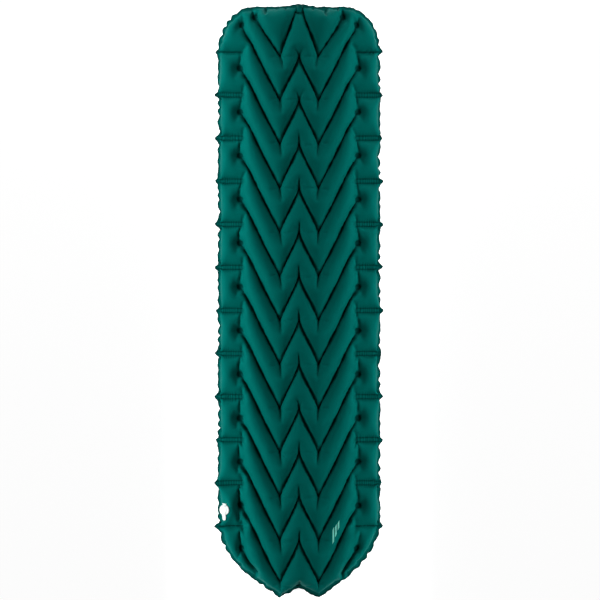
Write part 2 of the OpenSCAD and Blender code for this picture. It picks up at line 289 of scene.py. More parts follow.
def weld_borders(lines, cell):
    """Points along the middle of each narrow weld, and on both borders and two rows between them on each
    wide one.
    """
    points = []
    for line, half in lines:
        step = BEAD_PITCH * STRETCH_RAIL / 3 if half == SIDE_HALF else cell
        rows = (0,) if half < SIDE_HALF else (-1, -0.33, 0.33, 1)
        for a, b in zip(line[:-1], line[1:]):
            forward = (b - a) / np.hypot(*(b - a))
            side = np.array([-forward[1], forward[0]]) * half
            count = max(1, int(round(np.hypot(*(b - a)) / step)))
            for n, row in enumerate(rows):
                for i in range(count + 1):
                    t = min(1.0, (i + 0.5 * (n % 2)) / count)
                    points.append(a + t * (b - a) + row * side)
    return np.array(points)


def flat_mesh(cell, fine):
    """Points and triangles of the flat sheet, with each point's weld facts."""
    edge = outline(cell)
    lines, dots = weld_lines()
    valve = valve_flat_centre()
    dot_rings = ((0, 1), (1, 9))  # (share of the radius, number of points)
    circles = [d + DOT_R * scale * turn(i, n) for d in dots for scale, n in dot_rings for i in range(n)]
    rings = [valve + r * turn(i, n) for r, n in ((NECK_HOLE, 28), (SKIRT, 30)) for i in range(n)]

    kept = list(edge)
    kept += spaced(inward(edge, SEAM), kept, cell * 0.5)
    kept += spaced(rings, kept, fine * 0.5)
    kept += spaced(circles, kept, cell * 0.45)
    borders = weld_borders(lines, cell)
    borders = borders[inside(borders, inward(edge, SEAM * 0.5))]
    kept += spaced(list(borders), kept, fine * 0.62)

    for size, in_zone in ((fine, True), (cell, False)):
        grid = lattice(edge, size, 0.12)
        outside = weld_distance(grid, lines, dots)
        grid = grid[inside(grid, inward(edge, SEAM + size * 0.5)) & (outside > size * 0.5)]
        grid = grid[pucker_zone(grid, lines) == in_zone]
        grid = grid[np.linalg.norm(grid - valve, axis=1) > SKIRT + size * 0.4]
        kept += spaced(list(grid), kept, size * 0.62)

    points, faces = triangulate(np.array(kept), edge)
    outside = weld_distance(points, lines, dots)
    in_weld = outside < 0.0003
    in_seam = ~inside(points, inward(edge, SEAM * 1.08))
    return points, faces, in_weld, in_seam, outside


def triangulate(points, edge):
    """Delaunay triangles inside the outline, all anticlockwise."""
    loop = [(i, (i + 1) % len(edge)) for i in range(len(edge))]
    out = delaunay_2d_cdt([Vector(p) for p in points], loop, [], 0, 1e-7, False)
    points = np.array([tuple(v) for v in out[0]])
    faces = np.array([tuple(f) for f in out[2]])
    faces = faces[inside(points[faces].mean(axis=1), edge)]
    a, b, c = (points[faces[:, i]] for i in range(3))
    area = (b - a)[:, 0] * (c - a)[:, 1] - (b - a)[:, 1] * (c - a)[:, 0]
    faces = np.where((area < 0)[:, None], faces[:, ::-1], faces)[np.abs(area) > 1e-9]
    used = np.unique(faces)
    renumber = np.full(len(points), -1)
    renumber[used] = np.arange(len(used))
    return points[used], renumber[faces]


def turn(i, n):
    """Unit vector at step i of n round a circle."""
    return np.array([math.cos(math.tau * i / n), math.sin(math.tau * i / n)])


def valve_flat_centre():
    """Centre of the valve on the flat sheet."""
    low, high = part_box("valve_flange")
    return to_flat(np.array([[-0.2395 * WIDTH_UNIT, (low[1] + high[1]) / 2]]))[0]


# ---------- inflation
class Cloth:
    """Two sheets joined at their welds, under air pressure, moved toward balance step by step."""

    STIFF = 1.7

    def __init__(self, flat, faces, joined):
        count = len(flat)
        self.joined = joined
        self.lower_of = np.arange(count)
        free = np.where(~joined)[0]
        self.lower_of[free] = count + np.arange(len(free))
        self.flat = np.vstack([flat, flat[free]])
        self.free = free
        lower = self.lower_of[faces][:, ::-1]
        both = joined[faces].all(axis=1)
        self.upper_faces = faces
        self.lower_faces = lower
        self.faces = np.vstack([faces[~both], lower[~both]])
        self.all_faces = np.vstack([faces, lower[~both]])
        self._springs()
        n = len(self.flat)
        self.n = n
        self.face_index = self.faces.T.reshape(-1)

    def _springs(self):
        f = self.all_faces
        sides = np.vstack([f[:, [0, 1]], f[:, [1, 2]], f[:, [2, 0]]])
        apex = np.concatenate([f[:, 2], f[:, 0], f[:, 1]])
        ordered = np.sort(sides, axis=1)
        key = ordered[:, 0].astype(np.int64) * (len(self.flat) + 1) + ordered[:, 1]
        order = np.argsort(key, kind="stable")
        key, apex, ordered = key[order], apex[order], ordered[order]
        first = np.concatenate([[True], key[1:] != key[:-1]])
        edges = ordered[first]
        pair = np.where(~first)[0]
        pair = pair[first[pair - 1]]
        bends = np.column_stack([apex[pair - 1], apex[pair]])
        bends = bends[bends[:, 0] != bends[:, 1]]
        self.a = np.concatenate([edges[:, 0], bends[:, 0]])
        self.b = np.concatenate([edges[:, 1], bends[:, 1]])
        self.rest = np.linalg.norm(self.flat[self.a] - self.flat[self.b], axis=1)
        self.is_edge = np.arange(len(self.a)) < len(edges)
        fused = np.zeros(len(self.flat), bool)
        fused[: len(self.joined)] = self.joined
        self.is_fused = fused[self.a] & fused[self.b]

    def settle(self, x, steps, squeeze, bend, hold, calm):
        """Runs the solver. squeeze and bend are shares of STIFF, against shortening and against bending."""
        n = self.n
        pins, pin_at, pin_pull, held, floor = hold
        v = np.zeros_like(x)
        pull = np.where(self.is_edge, self.STIFF, 0.0)
        push = np.where(self.is_edge, self.STIFF * squeeze, self.STIFF * bend)
        push = np.where(self.is_fused, push * FUSED_PUSH, push)
        dt = 0.42
        ends = np.concatenate([self.a, self.b])
        f0, f1, f2 = self.faces.T
        above = self.free
        below = self.lower_of[self.free]
        for _ in range(steps):
            d = x[self.b] - x[self.a]
            length = np.sqrt(np.einsum("ij,ij->i", d, d)) + 1e-9
            over = length - self.rest
            size = np.where(over > 0, pull, push) * over / length
            fe = d * size[:, None]
            p0, p1, p2 = x[f0], x[f1], x[f2]
            normal = np.cross(p1 - p0, p2 - p0) / 6
            force = np.empty_like(x)
            for k in range(3):
                force[:, k] = np.bincount(ends, np.concatenate([fe[:, k], -fe[:, k]]), n)
                column = normal[:, k]
                force[:, k] += np.bincount(self.face_index, np.concatenate([column, column, column]), n)
            force[pins] += (pin_at - x[pins]) * pin_pull
            v = v * calm + force * dt
            x = x + v * dt
            x[held[0]] = held[1]
            v[held[0]] = 0
            low = x[:, 2] < floor
            x[low, 2] = floor
            v[low, 2] = 0
            v[low, :2] *= 0.6
            crossed = x[above, 2] < x[below, 2] + 0.0004
            if crossed.any():
                u, w = above[crossed], below[crossed]
                level = (x[u, 2] + x[w, 2]) / 2
                x[u, 2] = level + 0.0002
                x[w, 2] = level - 0.0002
        return x


def start_shape(cloth, plan, joined, gap):
    """First guess: the welds on the plan, the sheets bulging a little between them."""
    bulge = 0.010 * np.sqrt(np.clip(gap / 0.02, 0, 1))
    bulge[joined] = 0
    upper = np.column_stack([plan, bulge])
    lower = np.column_stack([plan, -bulge])[cloth.free]
    return np.vstack([upper, lower])


def carry_over(coarse, shape, flat, cloth):
    """Start of the fine pass: each point takes its place from the coarse triangle that it lies in."""
    size = len(coarse.joined)
    corners = np.column_stack([coarse.flat[:size], np.zeros(size)])
    tree = BVHTree.FromPolygons(corners.tolist(), coarse.upper_faces.tolist())
    found = [tree.find_nearest((p[0], p[1], 0.0)) for p in flat]
    face = np.array([f[2] for f in found])
    spot = np.array([tuple(f[0]) for f in found])[:, :2]
    a, b, c = (coarse.flat[coarse.upper_faces[face, i]] for i in range(3))
    whole = cross2(b - a, c - a)
    wb = cross2(spot - a, c - a) / whole
    wc = cross2(b - a, spot - a) / whole
    share = np.column_stack([1 - wb - wc, wb, wc])
    upper = np.einsum("ij,ijk->ik", share, shape[coarse.upper_faces[face]])
    lower_corners = coarse.lower_of[coarse.upper_faces[face]]
    lower = np.einsum("ij,ijk->ik", share, shape[lower_corners])
    upper[cloth.joined] = (upper[cloth.joined] + lower[cloth.joined]) / 2
    return np.vstack([upper, lower[cloth.free]])


def cross2(u, v):
    return u[:, 0] * v[:, 1] - u[:, 1] * v[:, 0]


def inflate():
    """The inflated pad about its weld plane, with the facts that the pieces need."""
    earlier = None
    for cell, fine, easy, firm in PASSES:
        flat, faces, in_weld, in_seam, gap = flat_mesh(cell, fine)
        joined = in_weld | in_seam
        cloth = Cloth(flat, faces, joined)
        plan = to_plan(flat)
        if earlier is None:
            shape = start_shape(cloth, plan, joined, np.minimum(gap, edge_gap(flat)))
        else:
            shape = carry_over(*earlier, flat, cloth)
        shape[:, 2] += RANDOM.normal(0, 0.0003, len(shape))

        # chevron points stay near the plan; the side welds only keep their place along the pad
        pins = np.where(in_weld & ~in_seam)[0]
        pin_at = np.column_stack([plan[pins], np.zeros(len(pins))])
        on_chevron = np.abs(plan[pins, 0]) < ARM_END_X * 1.01
        pull = PIN_PULL * np.column_stack([on_chevron, np.ones(len(pins)), on_chevron])
        hold = (pins, pin_at, pull, valve_hold(flat), -(MID_Z - 0.0008))
        shape = cloth.settle(shape, easy, 0.0, 0.0, hold, 0.97)
        shape = cloth.settle(shape, firm, 0.12, 0.02, hold, 0.95)
        earlier = (cloth, shape)
    shape[:, 2] += MID_Z
    return cloth, shape, gap


def edge_gap(flat):
    """Distance of each flat point from the outline."""
    tree = point_tree(outline(0.002))
    return np.array([tree.find((x, y, 0.0))[2] for x, y in flat])


def point_tree(points):
    """Search tree over points of a plane."""
    tree = KDTree(len(points))
    for i, (x, y) in enumerate(points):
        tree.insert((x, y, 0.0), i)
    tree.balance()
    return tree


def valve_matrix():
    """Frame of the valve: origin on the sheet, z along the valve's axis, x toward the pad's middle."""
    joint = next(j for j in frame["joints"] if j["name"] == "stage_hinge")
    side = -Vector(joint["axis"]).normalized()
    up = side.cross(Vector((0, 1, 0)))
    mount = next(m for m in frame["record"]["mounts"] if m["name"] == "inflation_port")
    origin = Vector(mount["pos_m"]) - up * MOUNT_HEIGHT
    m = Matrix((side, Vector((0, 1, 0)), up)).transposed().to_4x4()
    m.translation = origin
    return m


def valve_hold(flat):
    """Indices and places of the upper sheet's points that are bonded to the valve's skirt."""
    centre = valve_flat_centre()
    away = flat - centre
    near = np.where(np.linalg.norm(away, axis=1) < SKIRT * 1.03)[0]
    m = np.array(valve_matrix())
    local = np.column_stack([away[near], np.full(len(near), -THICK - INNER_LIFT)])
    place = local @ m[:3, :3].T + m[:3, 3]
    place[:, 2] -= MID_Z
    return near, place


# how the sheets are held: at the valve and at the welds
MOUNT_HEIGHT = 0.0015
NECK_HOLE = 0.0124
SKIRT = 0.0180
PIN_PULL = 0.03
FUSED_PUSH = 4.0
# (cell, cell where it puckers, steps without and with stiffness against shortening)
PASSES = [
    (COARSE_CELL, COARSE_CELL * 0.7, 400, 200),
    (FINE_CELL, PUCKER_CELL, 0, 600),
]

# ---------- folds finer than the triangles
RAIL_X = 0.2560 * WIDTH_UNIT
RIM_REACH = 0.085
EAR_OUT = 0.0090
EAR_HALF = 0.0120
SCALLOP_PITCH = 0.037
SCALLOP_DEPTH = 0.0075
FLANGE_OUT = 0.0085
BEAD_HEIGHT = 0.0028


def fade(x):
    """1 at zero, falling smoothly to 0 at one."""
    t = np.clip(1 - np.abs(x), 0, 1)
    return t * t * (3 - 2 * t)


def cusps(run, pitch, seed):
    """Rounded bulges between sharp notches, uneven in length, from 0 at a notch to 1."""
    wander = 0.22 * np.sin(run / pitch * 1.7 + seed) + 0.15 * np.sin(run / pitch * 0.9 + 2 * seed)
    return np.abs(np.sin(math.pi * (run / pitch + wander)))


def side_weld_gap(y):
    """Distance along the pad to the nearest side weld, and that weld's number."""
    k = np.clip(np.round((FIRST_SIDE_WELD - y) / SIDE_WELD_PITCH), 0, SIDE_WELDS - 1)
    return y - (FIRST_SIDE_WELD - k * SIDE_WELD_PITCH), k


def fit_outline(shape, plan, from_edge):
    """Brings the outline to its place on the plan: scalloped, with an ear at the end of each cross weld."""
    ring = np.where(from_edge < 0.0012)[0]
    ring = ring[np.argsort(np.arctan2(plan[ring, 1], plan[ring, 0]))]
    goal = plan[ring] * (RAIL_X / EDGE_X, 1.0)
    behind = np.roll(goal, 1, axis=0)
    step = np.roll(goal, -1, axis=0) - behind
    out = np.column_stack([step[:, 1], -step[:, 0]]) / np.linalg.norm(step, axis=1)[:, None]
    run = np.cumsum(np.linalg.norm(goal - behind, axis=1))
    gap, k = side_weld_gap(goal[:, 1])
    sideways = np.abs(out[:, 0])
    ear = EAR_OUT * fade(gap / EAR_HALF) * (0.75 + 0.5 * np.abs(np.sin(3.1 * k + out[:, 0]))) * sideways
    bumps = SCALLOP_DEPTH * (cusps(run, SCALLOP_PITCH, 1.0) - 1) * (0.8 + 0.4 * np.sin(run / 0.05))
    move = goal + (ear + bumps * (0.35 + 0.65 * sideways))[:, None] * out - shape[ring, :2]
    inner_move = smooth_ring(move, 16)

    tree = point_tree(plan[ring])
    fitted = shape.copy()
    for i in np.where(from_edge < RIM_REACH)[0]:
        near = tree.find_n((plan[i, 0], plan[i, 1], 0.0), 4)
        index = [found for _, found, _ in near]
        weight = np.array([1 / (distance + 1e-4) for _, _, distance in near])
        inner = min(max((from_edge[i] - SEAM) / 0.012, 0.0), 1.0)
        off_seam = FLANGE_OUT * min(from_edge[i] / SEAM, 1.0)
        steps = move[index] * (1 - inner) + inner_move[index] * inner - off_seam * out[index]
        fitted[i, :2] += weight @ steps / weight.sum() * fade(from_edge[i] / RIM_REACH)

    # the seam allowance stands out flat from the line where the two sheets part
    line = np.where(np.abs(from_edge - SEAM) < 0.0012)[0]
    line_tree = point_tree(plan[line])
    for i in np.where(from_edge < SEAM)[0]:
        _, nearest, _ = line_tree.find((plan[i, 0], plan[i, 1], 0.0))
        fitted[i, 2] = shape[line[nearest], 2]
    return fitted


def smooth_ring(values, times):
    """Values of a closed ring averaged with their neighbours."""
    for _ in range(times):
        values = (np.roll(values, 1, axis=0) + 2 * values + np.roll(values, -1, axis=0)) / 4
    return values


def side_band(plan):
    """1 along the middle of each beaded side weld, falling to 0 at its borders."""
    away, k = side_weld_gap(plan[:, 1])
    beaded = (k > 0) & (k < SIDE_WELDS - 1)
    return rail_share(plan) * fade(away / 0.0095) * beaded


def rail_share(plan):
    """0 inside the chevron field, 1 on the rails."""
    return np.clip((np.abs(plan[:, 0]) - SIDE_WELD_X + 0.004) / 0.008, 0, 1)


def bead_phase(plan):
    """Phase of the beads along each side weld, a little uneven."""
    side = np.abs(plan[:, 0])
    _, k = side_weld_gap(plan[:, 1])
    return 2 * math.pi * side / BEAD_PITCH + 1.3 * np.sin(2.0 * k + side / 0.011)


def beads(plan):
    """The row of beads on each side weld: 1 on a bead, 0 between two and off the welds."""
    return side_band(plan) * (1 + np.cos(bead_phase(plan))) / 2


def ripples(plan, gap, from_edge):
    """Height of the small folds: beads on the side welds, puckers at welds and corners."""
    side = np.abs(plan[:, 0])
    away, k = side_weld_gap(plan[:, 1])
    strength = 0.7 + 0.3 * np.sin(5.0 * k + np.sign(plan[:, 0]))
    flare = rail_share(plan) * fade((np.abs(away) - SIDE_HALF / STRETCH_Y) / 0.017) * (gap > 0)
    height = 0.6 * BEAD_HEIGHT * strength * flare * np.cos(bead_phase(plan) + 0.6)
    for n in range(CHEVRONS):
        bottom = FIRST_BOTTOM - n * WELD_PITCH
        height += fan(side - BOTTOM_X, plan[:, 1] - bottom, 0.7 + n, 1.3)
        height += fan(plan[:, 0], plan[:, 1] - bottom, 2.1 + n, 1.0)
        height -= crease(side, plan[:, 1] - bottom - 0.002 * math.sin(2.3 * n), 0.014, 0.050)
        height -= crease(side, plan[:, 1] - bottom + 0.004 * math.cos(1.9 * n), 0.069, 0.094)
    height *= np.clip(np.minimum(gap, from_edge) / 0.004, 0, 1)
    return height + BEAD_HEIGHT * strength * beads(plan)


def fan(x, y, seed, strength):
    """Short folds that spread from a weld's corner."""
    r = np.hypot(x, y)
    angle = np.arctan2(x, -y)
    spread = np.cos(9 * angle + 0.8 * math.sin(seed)) * (0.75 + 0.25 * np.cos(4 * angle + seed))
    return 0.0012 * strength * spread * fade(r / 0.032) * np.clip(r / 0.008, 0, 1)


def crease(side, y, start, end):
    """A short fold across a tube, from start to end."""
    middle, half = (start + end) / 2, (end - start) / 2
    bend = y + 0.0015 * np.cos((side - middle) / half * 2.0)
    return 0.0040 * np.exp(-((bend / 0.0030) ** 2)) * fade((side - middle) / (half * 1.15))


# ---------- meshes
THICK = 0.00035
INNER_LIFT = 0.00003


def vertex_normals(x, faces):
    """Unit normals at the points of a triangle mesh."""
    corners = x[faces]
    cross = np.cross(corners[:, 1] - corners[:, 0], corners[:, 2] - corners[:, 0])
    n = np.zeros_like(x)
    for k in range(3):
        for c in range(3):
            n[:, c] += np.bincount(faces[:, k], cross[:, c], len(x))
    return n / (np.linalg.norm(n, axis=1)[:, None] + 1e-12)


def make_mesh(name, verts, faces, material):
    """A smooth-shaded object from points and faces."""
    mesh = bpy.data.meshes.new(name)
    mesh.from_pydata(np.asarray(verts).tolist(), [], np.asarray(faces).tolist())
    mesh.polygons.foreach_set("use_smooth", [True] * len(mesh.polygons))
    mesh.materials.append(material)
    mesh.update()
    obj = bpy.data.objects.new(name, mesh)
    bpy.context.collection.objects.link(obj)
    return obj


def point_values(obj, name, kind, values):
    """Stores one value per point for the material to read."""
    attribute = obj.data.attributes.new(name, kind, "POINT")
    key = "value" if kind == "FLOAT" else "vector"
    attribute.data.foreach_set(key, np.asarray(values, np.float32).reshape(-1))


def open_border(faces, count):
    """The edges that only one triangle uses, each in its triangle's direction."""
    sides = np.vstack([faces[:, [0, 1]], faces[:, [1, 2]], faces[:, [2, 0]]])
    key = sides[:, 0].astype(np.int64) * count + sides[:, 1]
    back = sides[:, 1].astype(np.int64) * count + sides[:, 0]
    return sides[~np.isin(key, back)]


def place(obj, body, *nodes):
    """The piece rides on a body and stands for CAD nodes."""
    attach(obj, body)
    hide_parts(*nodes)
    return obj


# ---------- materials
class Look:
    """A material whose nodes are added with short calls."""

    def __init__(self, name, roughness, specular):
        self.material = bpy.data.materials.new(name)
        self.material.use_nodes = True
        self.tree = self.material.node_tree
        self.shader = self.tree.nodes["Principled BSDF"]
        self.set("Roughness", roughness)
        self.set("Specular IOR Level", specular)

    def set(self, socket, value):
        """Sets or links one of the shader's sockets."""
        self.feed(self.shader.inputs[socket], value)

    def feed(self, socket, value):
        if isinstance(value, bpy.types.NodeSocket):
            self.tree.links.new(value, socket)
        else:
            socket.default_value = value

    def node(self, kind, inputs, output=0, **settings):
        node = self.tree.nodes.new(kind)
        for key, value in settings.items():
            setattr(node, key, value)
        for key, value in inputs.items():
            self.feed(node.inputs[key], value)
        return node.outputs[output]

    def attribute(self, name, output):
        return self.node("ShaderNodeAttribute", {}, output, attribute_name=name)

    def objects(self):
        return self.node("ShaderNodeTexCoord", {}, "Object")

    def noise(self, vector, scale, detail=3.0):
        return self.node("ShaderNodeTexNoise", {"Vector": vector, "Scale": scale, "Detail": detail}, "Fac")

    def wave(self, vector, direction, scale, wobble=0.0):
        inputs = {"Vector": vector, "Scale": scale, "Distortion": wobble}
        return self.node("ShaderNodeTexWave", inputs, "Fac", bands_direction=direction)

    def math(self, operation, a, b):
        return self.node("ShaderNodeMath", {0: a, 1: b}, operation=operation)

    def spread(self, value, low, high):
        """A 0 to 1 value brought between low and high."""
        return self.node("ShaderNodeMapRange", {"Value": value, "To Min": low, "To Max": high})

    def mix(self, share, a, b):
        return self.node("ShaderNodeMix", {0: share, 6: a, 7: b}, 2, data_type="RGBA")

    def bump(self, height, distance, strength=1.0, under=None):
        inputs = {"Height": height, "Distance": distance, "Strength": strength}
        if under is not None:
            inputs["Normal"] = under
        return self.node("ShaderNodeBump", inputs)


def shade(colour, factor):
    """A colour made darker or lighter, as the mix node wants it."""
    return (colour[0] * factor, colour[1] * factor, colour[2] * factor, 1.0)


def fabric(name, colour, roughness):
    """Plain-woven coated cloth: fine threads, faint crinkle, uneven dye, and near-black painted shade at
    the welds, weld-end dots and outline seam, partly the darker fused weld but mostly the shade of creases,
    pits and the seam edge.
    """
    look = Look(name, roughness, 0.12)
    flat = look.attribute("flat", "Vector")
    weld = look.attribute("weld", "Fac")
    dye = look.noise(flat, 7.0)
    slub = look.noise(flat, 240.0)
    tone = look.mix(dye, shade(colour, 0.90), shade(colour, 1.12))
    tone = look.mix(look.spread(slub, 0.0, 0.5), tone, shade(colour, 0.82))
    # painted shade: the weld attribute blends the colour toward near black in the weld creases, the dot
    # pits and along the outline seam; only a little of it is the fused welds' own darker tone
    look.set("Base Color", look.mix(weld, tone, shade(colour, 0.16)))
    rough = look.spread(look.noise(flat, 30.0), roughness - 0.08, roughness + 0.08)
    look.set("Roughness", look.math("SUBTRACT", rough, look.math("MULTIPLY", weld, 0.12)))
    threads = look.math("ADD", look.wave(flat, "X", 560.0), look.wave(flat, "Y", 560.0))
    normal = look.bump(threads, 0.00005, 0.6)
    normal = look.bump(look.noise(flat, 95.0, 2.0), 0.00050, 0.5, normal)
    normal = look.bump(look.noise(flat, 24.0, 2.0), 0.00160, 0.5, normal)
    look.set("Normal", normal)
    look.set("Specular Tint", (0.0, 1.0, 0.93, 1.0))
    look.set("Sheen Weight", 0.04)
    look.set("Sheen Roughness", 0.45)
    look.set("Sheen Tint", (0.0, 0.75, 0.66, 1.0))
    return look.material


def moulded(name, colour, roughness, milky):
    """Milky moulded elastomer: light passes into it a little, with faint flow marks and handling haze."""
    look = Look(name, roughness, 0.45)
    where = look.objects()
    flow = look.noise(where, 180.0)
    haze = look.noise(where, 900.0, 4.0)
    look.set("Base Color", look.mix(flow, shade(colour, 0.93), shade(colour, 1.04)))
    look.set("Roughness", look.spread(haze, roughness - 0.08, roughness + 0.12))
    look.set("Subsurface Weight", milky)
    look.set("Subsurface Radius", (0.9, 1.0, 0.95))
    look.set("Subsurface Scale", 0.0012)
    look.set("Normal", look.bump(haze, 0.00003, 0.5))
    return look.material


def rubber(name, colour, roughness):
    """Soft seal rubber with a fine bloom on its surface."""
    look = Look(name, roughness, 0.35)
    where = look.objects()
    bloom = look.noise(where, 700.0, 4.0)
    look.set("Base Color", look.mix(bloom, shade(colour, 0.85), shade(colour, 1.10)))
    look.set("Roughness", look.spread(bloom, roughness - 0.05, roughness + 0.15))
    look.set("Normal", look.bump(bloom, 0.00002, 0.4))
    return look.material


def ink(name, colour):
    """Screen-printed ink that lies on the threads: small pinholes and uneven cover."""
    look = Look(name, 0.42, 0.4)
    where = look.objects()
    cover = look.noise(where, 420.0, 3.0)
    share = look.spread(cover, -0.6, 1.0)
    look.set("Base Color", look.mix(share, shade(colour, 0.72), shade(colour, 1.05)))
    threads = look.math("ADD", look.wave(where, "X", 560.0), look.wave(where, "Y", 560.0))
    look.set("Normal", look.bump(threads, 0.00004, 0.5))
    return look.material


TEAL = (0.0, 0.1400, 0.1200)
top_fabric = fabric("top_fabric_cloth", TEAL, 0.56)
base_fabric = fabric("base_fabric_cloth", shade(TEAL, 0.80)[:3], 0.64)
print_ink = ink("print_ink", (0.22, 0.95, 0.78))
body_plastic = moulded("valve_body_elastomer", (0.82, 0.93, 0.90), 0.42, 0.25)
cap_plastic = moulded("valve_cap_elastomer", (0.88, 0.97, 0.95), 0.34, 0.30)
strap_plastic = moulded("valve_strap_elastomer", (0.78, 0.90, 0.87), 0.46, 0.20)
seal_rubber = rubber("seal_rubber", (0.23, 0.28, 0.31), 0.50)
flap_silicone = rubber("flap_silicone", (0.52, 0.17, 0.14), 0.34)


# ---------- the two sheets
def sheet_piece(name, pad, faces, node, material):
    """One sheet as a thin closed shell with its small folds."""
    used = np.unique(faces)
    renumber = np.full(len(pad.shape), -1)
    renumber[used] = np.arange(len(used))
    faces = renumber[faces]
    middle = pad.shape[used]
    lift = pad.folds[used]
    lift[middle[:, 2] < 0.004] = 0
    middle = middle + vertex_normals(middle, faces) * lift[:, None]
    normal = vertex_normals(middle, faces)
    count = len(middle)
    a, b = open_border(faces, count).T
    walls = np.vstack([np.column_stack([b, a, a + count]), np.column_stack([b, a + count, b + count])])
    points = np.vstack([middle + normal * THICK, middle + normal * INNER_LIFT])
    obj = make_mesh(name, points, np.vstack([faces, faces[:, ::-1] + count, walls]), material)
    flat = np.column_stack([pad.flat[used], np.zeros(count)])
    # the weld attribute carries painted shade for the weld creases, dot pits and outline seam, together
    # with the fused welds' darker tone
    weld = pad.weld_tone_and_painted_shade[used]
    point_values(obj, "flat", "FLOAT_VECTOR", np.vstack([flat, flat]))
    point_values(obj, "weld", "FLOAT", np.concatenate([weld, weld]))
    return place(obj, "pad", node)


class Pad:
    """The inflated pad: shape of all points, and what the sheets need to know about them."""

    def __init__(self):
        cloth, shape, gap = inflate()
        self.cloth = cloth
        self.flat = cloth.flat
        gap = np.concatenate([gap, gap[cloth.free]])
        plan = to_plan(self.flat)
        from_edge = edge_gap(self.flat)
        from_valve = np.linalg.norm(self.flat - valve_flat_centre(), axis=1)
        calm = np.clip((from_valve - SKIRT) / 0.015, 0, 1)
        fitted = fit_outline(shape, plan, from_edge)
        self.shape = shape + (fitted - shape) * calm[:, None]
        self.folds = ripples(plan, gap, from_edge) * calm
        # painted shade: near-black colour in the weld creases and the pits at the weld-end dots, with a
        # little of the fused welds' own darker tone, lighter on the side welds' beads; painted shadow along
        # the outline seam
        weld_tone_and_painted_crease_shade = np.exp(-np.maximum(gap, 0) / 0.0022) * (1 - 0.40 * side_band(plan) - 0.60 * beads(plan))
        painted_seam_shadow = np.exp(-np.maximum(from_edge - SEAM / 2, 0) / 0.0020)
        self.weld_tone_and_painted_shade = np.clip(np.maximum(weld_tone_and_painted_crease_shade, painted_seam_shadow), 0, 1)


pad = Pad()
hole = pad.flat[pad.cloth.upper_faces].mean(axis=1) - valve_flat_centre()
upper_faces = pad.cloth.upper_faces[np.linalg.norm(hole, axis=1) > NECK_HOLE * 0.98]
top_sheet = sheet_piece("top_sheet_cloth", pad, upper_faces, "top_sheet", top_fabric)
bottom_sheet = sheet_piece("bottom_sheet_cloth", pad, pad.cloth.lower_faces, "bottom_sheet", base_fabric)


# ---------- print
def print_bars():
    """Three plain bars that follow the cloth."""
    low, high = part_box("mark_print")
    tree = BVHTree.FromObject(top_sheet, bpy.context.evaluated_depsgraph_get())
    slope = ARM_RISE / (ARM_END_X - BOTTOM_X)
    tube = WELD_PITCH - 0.014
    bar_width = (high[0] - low[0]) * 5 / 21
    step = (high[0] - low[0] - bar_width) / 2
    centre = low[1] + 0.18 * tube
    points, faces = [], []
    for bar, reach in enumerate((0.18, 0.13, 0.09)):
        rows, cells = 24, 4
        first = len(points)
        for level in (0.0, 0.00025):
            for j in range(rows + 1):
                for i in range(cells + 1):
                    x = low[0] + bar * step + bar_width * i / cells
                    along = (2 * j / rows - 1) * reach * tube
                    y = centre + (x - low[0]) * slope + along
                    spot, normal, _, _ = tree.ray_cast(Vector((x, y, 0.2)), Vector((0, 0, -1)))
                    points.append(spot + normal * (0.00008 + level))
        faces += block_faces(first, rows, cells)
    return make_mesh("print_bars", [tuple(p) for p in points], faces, print_ink)


def block_faces(first, rows, cells):
    """Triangles of a thin block whose lower and upper faces are grids of points."""
    n = cells + 1
    size = n * (rows + 1)
    faces = []
    for j in range(rows):
        for i in range(cells):
            a = first + j * n + i
            b, c, d = a + 1, a + n + 1, a + n
            faces += [(a, c, b), (a, d, c), (a + size, b + size, c + size), (a + size, c + size, d + size)]
    left = [first + j * n for j in range(rows + 1)]
    right = [first + j * n + cells for j in range(rows + 1)]
    bottom = [first + i for i in range(n)]
    top = [first + rows * n + i for i in range(n)]
    for line, flip in ((left, True), (right, False), (bottom, False), (top, True)):
        for p, q in zip(line[:-1], line[1:]):
            if flip:
                p, q = q, p
            faces += [(p, q, q + size), (p, q + size, p + size)]
    return faces


marks = place(print_bars(), "pad", "mark_print")

# ---------- valve, in millimetres in its own frame
ROUND = 64
POST_SIDES = 12
FLANGE_R = 17.5
NECK_R = 12.2
NECK_TOP = 3.4
NECK_BORE_R = 10.6
SEAT_LINE = -1.5
STRAP_TOP = 1.1
STAGE_R = 16.0
STAGE_BASE = 3.9
STAGE_TOP = 5.1
CAP_R = 9.0
CAP_BASE = 7.0
CAP_TOP = 8.4
PIN_R = 0.8
PIN_HOLE_R = 0.88
STAGE_PIN = (18.2, 2.8)  # place of the stage hinge along the pad and over the sheet
CAP_PIN = (12.6, 7.6)  # the same for the cap hinge


def disc(radius, x=0.0, y=0.0, count=ROUND):
    """Outline of a circle."""
    angles = [math.tau * i / count for i in range(count)]
    return [(x + radius * math.cos(a), y + radius * math.sin(a)) for a in angles]


def tab(width, start, end):
    """Outline of a tab from y = start to y = -end with a round end."""
    half = width / 2
    arc = [(half * math.cos(math.pi * i / 16), -end - half * math.sin(math.pi * i / 16)) for i in range(17)]
    return [(-half, start)] + arc[::-1] + [(half, start)]


def oblong(x0, x1, y0, y1):
    return [(x0, y0), (x1, y0), (x1, y1), (x0, y1)]


def block(outline, z0, z1):
    """Closed prism over an outline."""
    mesh = bmesh.new()
    lower = [mesh.verts.new((x, y, z0)) for x, y in outline]
    upper = [mesh.verts.new((x, y, z1)) for x, y in outline]
    mesh.faces.new(lower[::-1])
    mesh.faces.new(upper)
    for i in range(len(outline)):
        j = (i + 1) % len(outline)
        mesh.faces.new((lower[i], lower[j], upper[j], upper[i]))
    bmesh.ops.recalc_face_normals(mesh, faces=mesh.faces)
    return mesh


